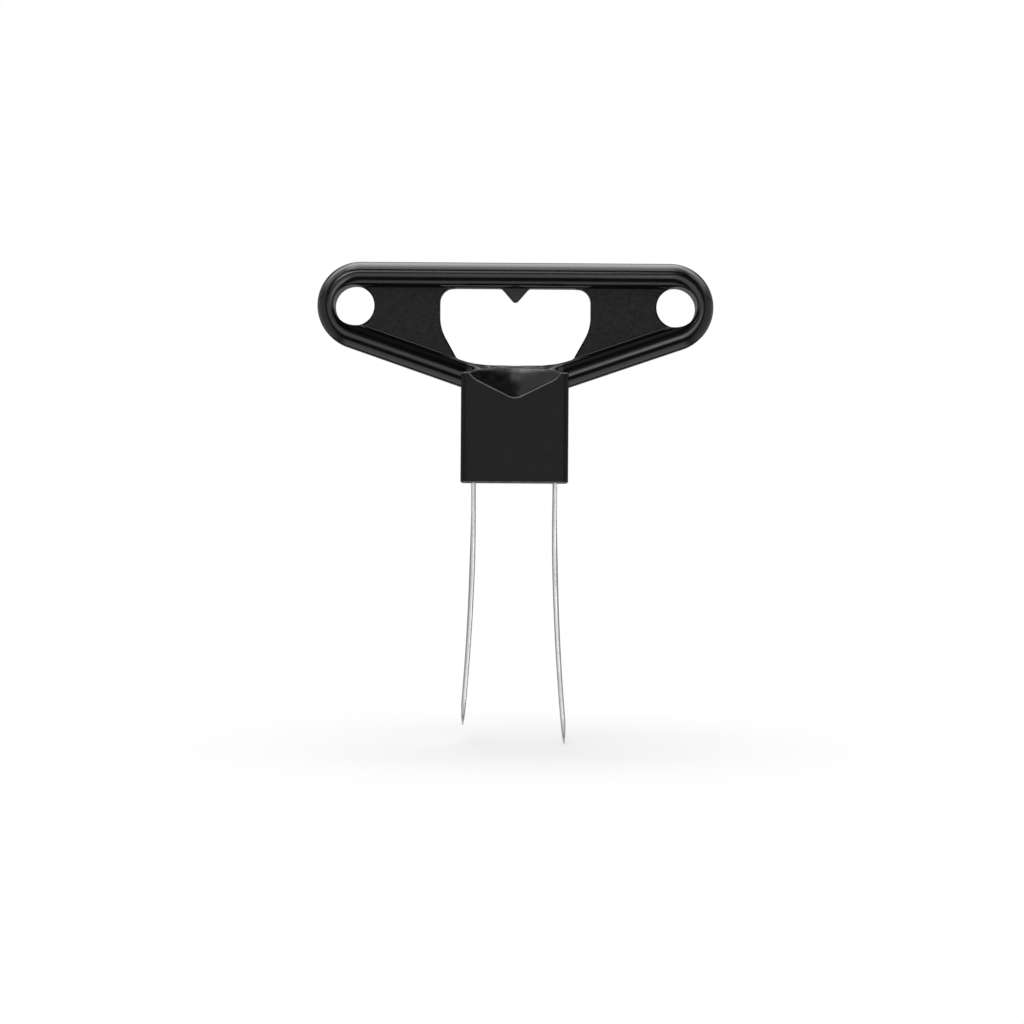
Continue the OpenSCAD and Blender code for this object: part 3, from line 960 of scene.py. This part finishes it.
def rivet_steel():
    s = Shader("plain_rivet_steel")
    s.give("Metallic", 1.0)
    s.give("Base Color", s.colours(s.noise(800, 3), *PLAIN_STEEL))
    s.give("Roughness", s.spread(s.noise(1200, 3), MOST, RIVET_ROUGHNESS))
    s.give("Normal", s.bump(s.noise(1800, 2), distance_mm=0.01, strength=0.4))
    return s.material


# Stage
WHITE = (1, 1, 1)
FLOOR_GREY = (0.92, 0.92, 0.92)
FLOOR_ROUGHNESS = 0.9
FLOOR_R = 0.125
FLOOR_SIDES = 96
# The floor fades to white between two distances, and is partly white in its middle
FLOOR_FADE = (0.015, 0.105)
FLOOR_FADED = (0.35, 1)
FILL_LEVEL = 0.6
ROOM_LEVEL = 0.05
BACKGROUND_LEVEL = 1.0
# Soft panels: level, angle from the front horizon up over the top in degrees, sideways part
PANELS = (
    (2.8, (45, 51, 104, 116), (-0.40, -0.12, 0.08, 0.26)),
    (2.4, (68, 84, 104, 118), (-0.80, -0.20, 0.20, 0.80)),
    (2.4, (84, 92, 108, 120), (-0.85, -0.60, -0.30, -0.12)),
    (1.6, (84, 92, 108, 120), (0.10, 0.25, 0.50, 0.80)),
    (5.5, (15, 20, 27, 34), (-0.38, -0.28, -0.20, -0.11)),
    (3.4, (100, 112, 128, 146), (-0.60, -0.08, 0.08, 0.60)),
    (2.7, (17, 21, 29, 34), (-0.20, -0.10, 0.03, 0.12)),
    (2.2, (-24, -14, 0, 8), (0.07, 0.11, 0.20, 0.30)),
    (3.0, (53, 58, 76, 86), (-0.42, -0.36, -0.22, -0.14)),
    (0.9, (53, 58, 76, 86), (0.14, 0.22, 0.36, 0.42)),
    (1.25, (-28, -16, 2, 14), (-0.5, -0.3, 0.3, 0.5)),
    (0.5, (22, 32, 68, 78), (-0.55, -0.44, -0.30, -0.24)),
    (1.5, (35, 55, 110, 135), (-0.90, -0.76, -0.50, -0.35)),
    (1.5, (35, 55, 110, 135), (0.35, 0.50, 0.76, 0.90)),
    (1.0, (-130, -115, -66, -54), (-0.6, -0.4, 0.4, 0.6)),
    (0.15, (150, 165, 190, 200), (-0.6, -0.4, 0.4, 0.6)),
    (0.15, (-200, -190, -165, -150), (-0.6, -0.4, 0.4, 0.6)),
    (0.55, (-200, -190, 190, 200), (-1.2, -1.1, -0.75, -0.5)),
    (0.55, (-200, -190, 190, 200), (0.5, 0.75, 1.1, 1.2)),
)
# Lamps: name, place, size, radiance
LAMP_TARGET = (0, 0, 0.03)
LAMPS = (
    ("overhead", (-0.10, 0.06, 0.62), (0.55, 0.40), 2.6),
    ("front_high", (-0.12, -0.55, 0.52), (0.50, 0.14), 2.2),
)
# Camera: the picture was taken level, with a slight roll
CAMERA_PLACE = (-0.0005, -0.52, -0.0073)
CAMERA_TURN = (math.pi / 2, math.radians(-0.4), 0)
CAMERA_LENS = 72.2
CAMERA_SENSOR = 36.0
CAMERA_CLIP = 0.01


def floor(z):
    """Keeps the shadow near the tool and fades into the white background."""
    ring = arc(0, 0, FLOOR_R, 0, 360, FLOOR_SIDES)[:-1]
    mesh = bpy.data.meshes.new("floor")
    mesh.from_pydata([(x, y, z) for x, y in ring], [], [list(range(len(ring)))])
    obj = bpy.data.objects.new("floor", mesh)
    scene.collection.objects.link(obj)
    obj.visible_glossy = False
    s = Shader("pale_floor")
    s.give("Base Color", FLOOR_GREY)
    s.give("Roughness", FLOOR_ROUGHNESS)
    flat = s.new("VectorMath")
    flat.operation = "MULTIPLY"
    flat.inputs[1].default_value = (1, 1, 0)
    s.feed(flat.inputs[0], s.place)
    away = s.new("VectorMath")
    away.operation = "LENGTH"
    s.feed(away.inputs[0], flat.outputs["Vector"])
    white = s.product(s.seen(), s.spread(away.outputs["Value"], FLOOR_FADE, FLOOR_FADED))
    glow = s.new("Emission").outputs["Emission"]
    result = s.blend(white, s.main.outputs["BSDF"], glow)
    s.feed(s.tree.nodes["Material Output"].inputs["Surface"], result)
    obj.data.materials.append(s.material)


def studio_world():
    """White to the camera, even fill on matt faces, and soft panels to be mirrored in gloss."""
    world = bpy.data.worlds.new("studio")
    scene.world = world
    world.use_nodes = True
    n = Nodes(world.node_tree)
    ray = n.new("TexCoord").outputs["Generated"]
    sideways = n.part(ray, "X")
    ahead = n.product(n.part(ray, "Y"), -1.0)
    height = n.product(n.math("ARCTAN2", n.part(ray, "Z"), ahead), 180 / math.pi)
    room = ROOM_LEVEL
    for level, heights, sides in PANELS:
        panel = n.product(n.band(height, heights), n.band(sideways, sides), level)
        room = n.math("ADD", panel, room)
    shaders = []
    for strength in (FILL_LEVEL, room, BACKGROUND_LEVEL):
        node = n.new("Background")
        n.feed(node.inputs["Color"], WHITE)
        n.feed(node.inputs["Strength"], strength)
        shaders.append(node.outputs["Background"])
    fill, panels, background = shaders
    glossy = n.new("LightPath").outputs["Is Glossy Ray"]
    result = n.blend(n.seen(), n.blend(glossy, fill, panels), background)
    n.feed(n.tree.nodes["World Output"].inputs["Surface"], result)


def softbox(name, place, size, radiance):
    lamp = bpy.data.lights.new(name, "AREA")
    lamp.shape = "RECTANGLE"
    lamp.size, lamp.size_y = size
    lamp.energy = math.pi * radiance * size[0] * size[1]
    obj = bpy.data.objects.new(name, lamp)
    obj.location = place
    aim = Vector(LAMP_TARGET) - Vector(place)
    obj.rotation_euler = aim.to_track_quat("-Z", "Y").to_euler()
    obj.visible_glossy = False
    scene.collection.objects.link(obj)


def camera():
    data = bpy.data.cameras.new("camera")
    data.sensor_width = CAMERA_SENSOR
    data.lens = CAMERA_LENS
    data.clip_start = CAMERA_CLIP
    obj = bpy.data.objects.new("camera", data)
    obj.location = CAMERA_PLACE
    obj.rotation_euler = CAMERA_TURN
    scene.collection.objects.link(obj)
    scene.camera = obj


camera()
cast_handle(handle_paint())
folded_sleeve(sleeve_paint())
steel = blade_steel()
spring_blade("short_spring_blade", SHORT_LEN, -1, "short_blade", steel)
spring_blade("long_spring_blade", LONG_LEN, 1, "long_blade", steel)
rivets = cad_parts["tang_rivets"]
rivets.data.materials.clear()
rivets.data.materials.append(rivet_steel())

floor(cad_box[0].z)
studio_world()
for lamp in LAMPS:
    softbox(*lamp)
scene.view_settings.view_transform = "Standard"
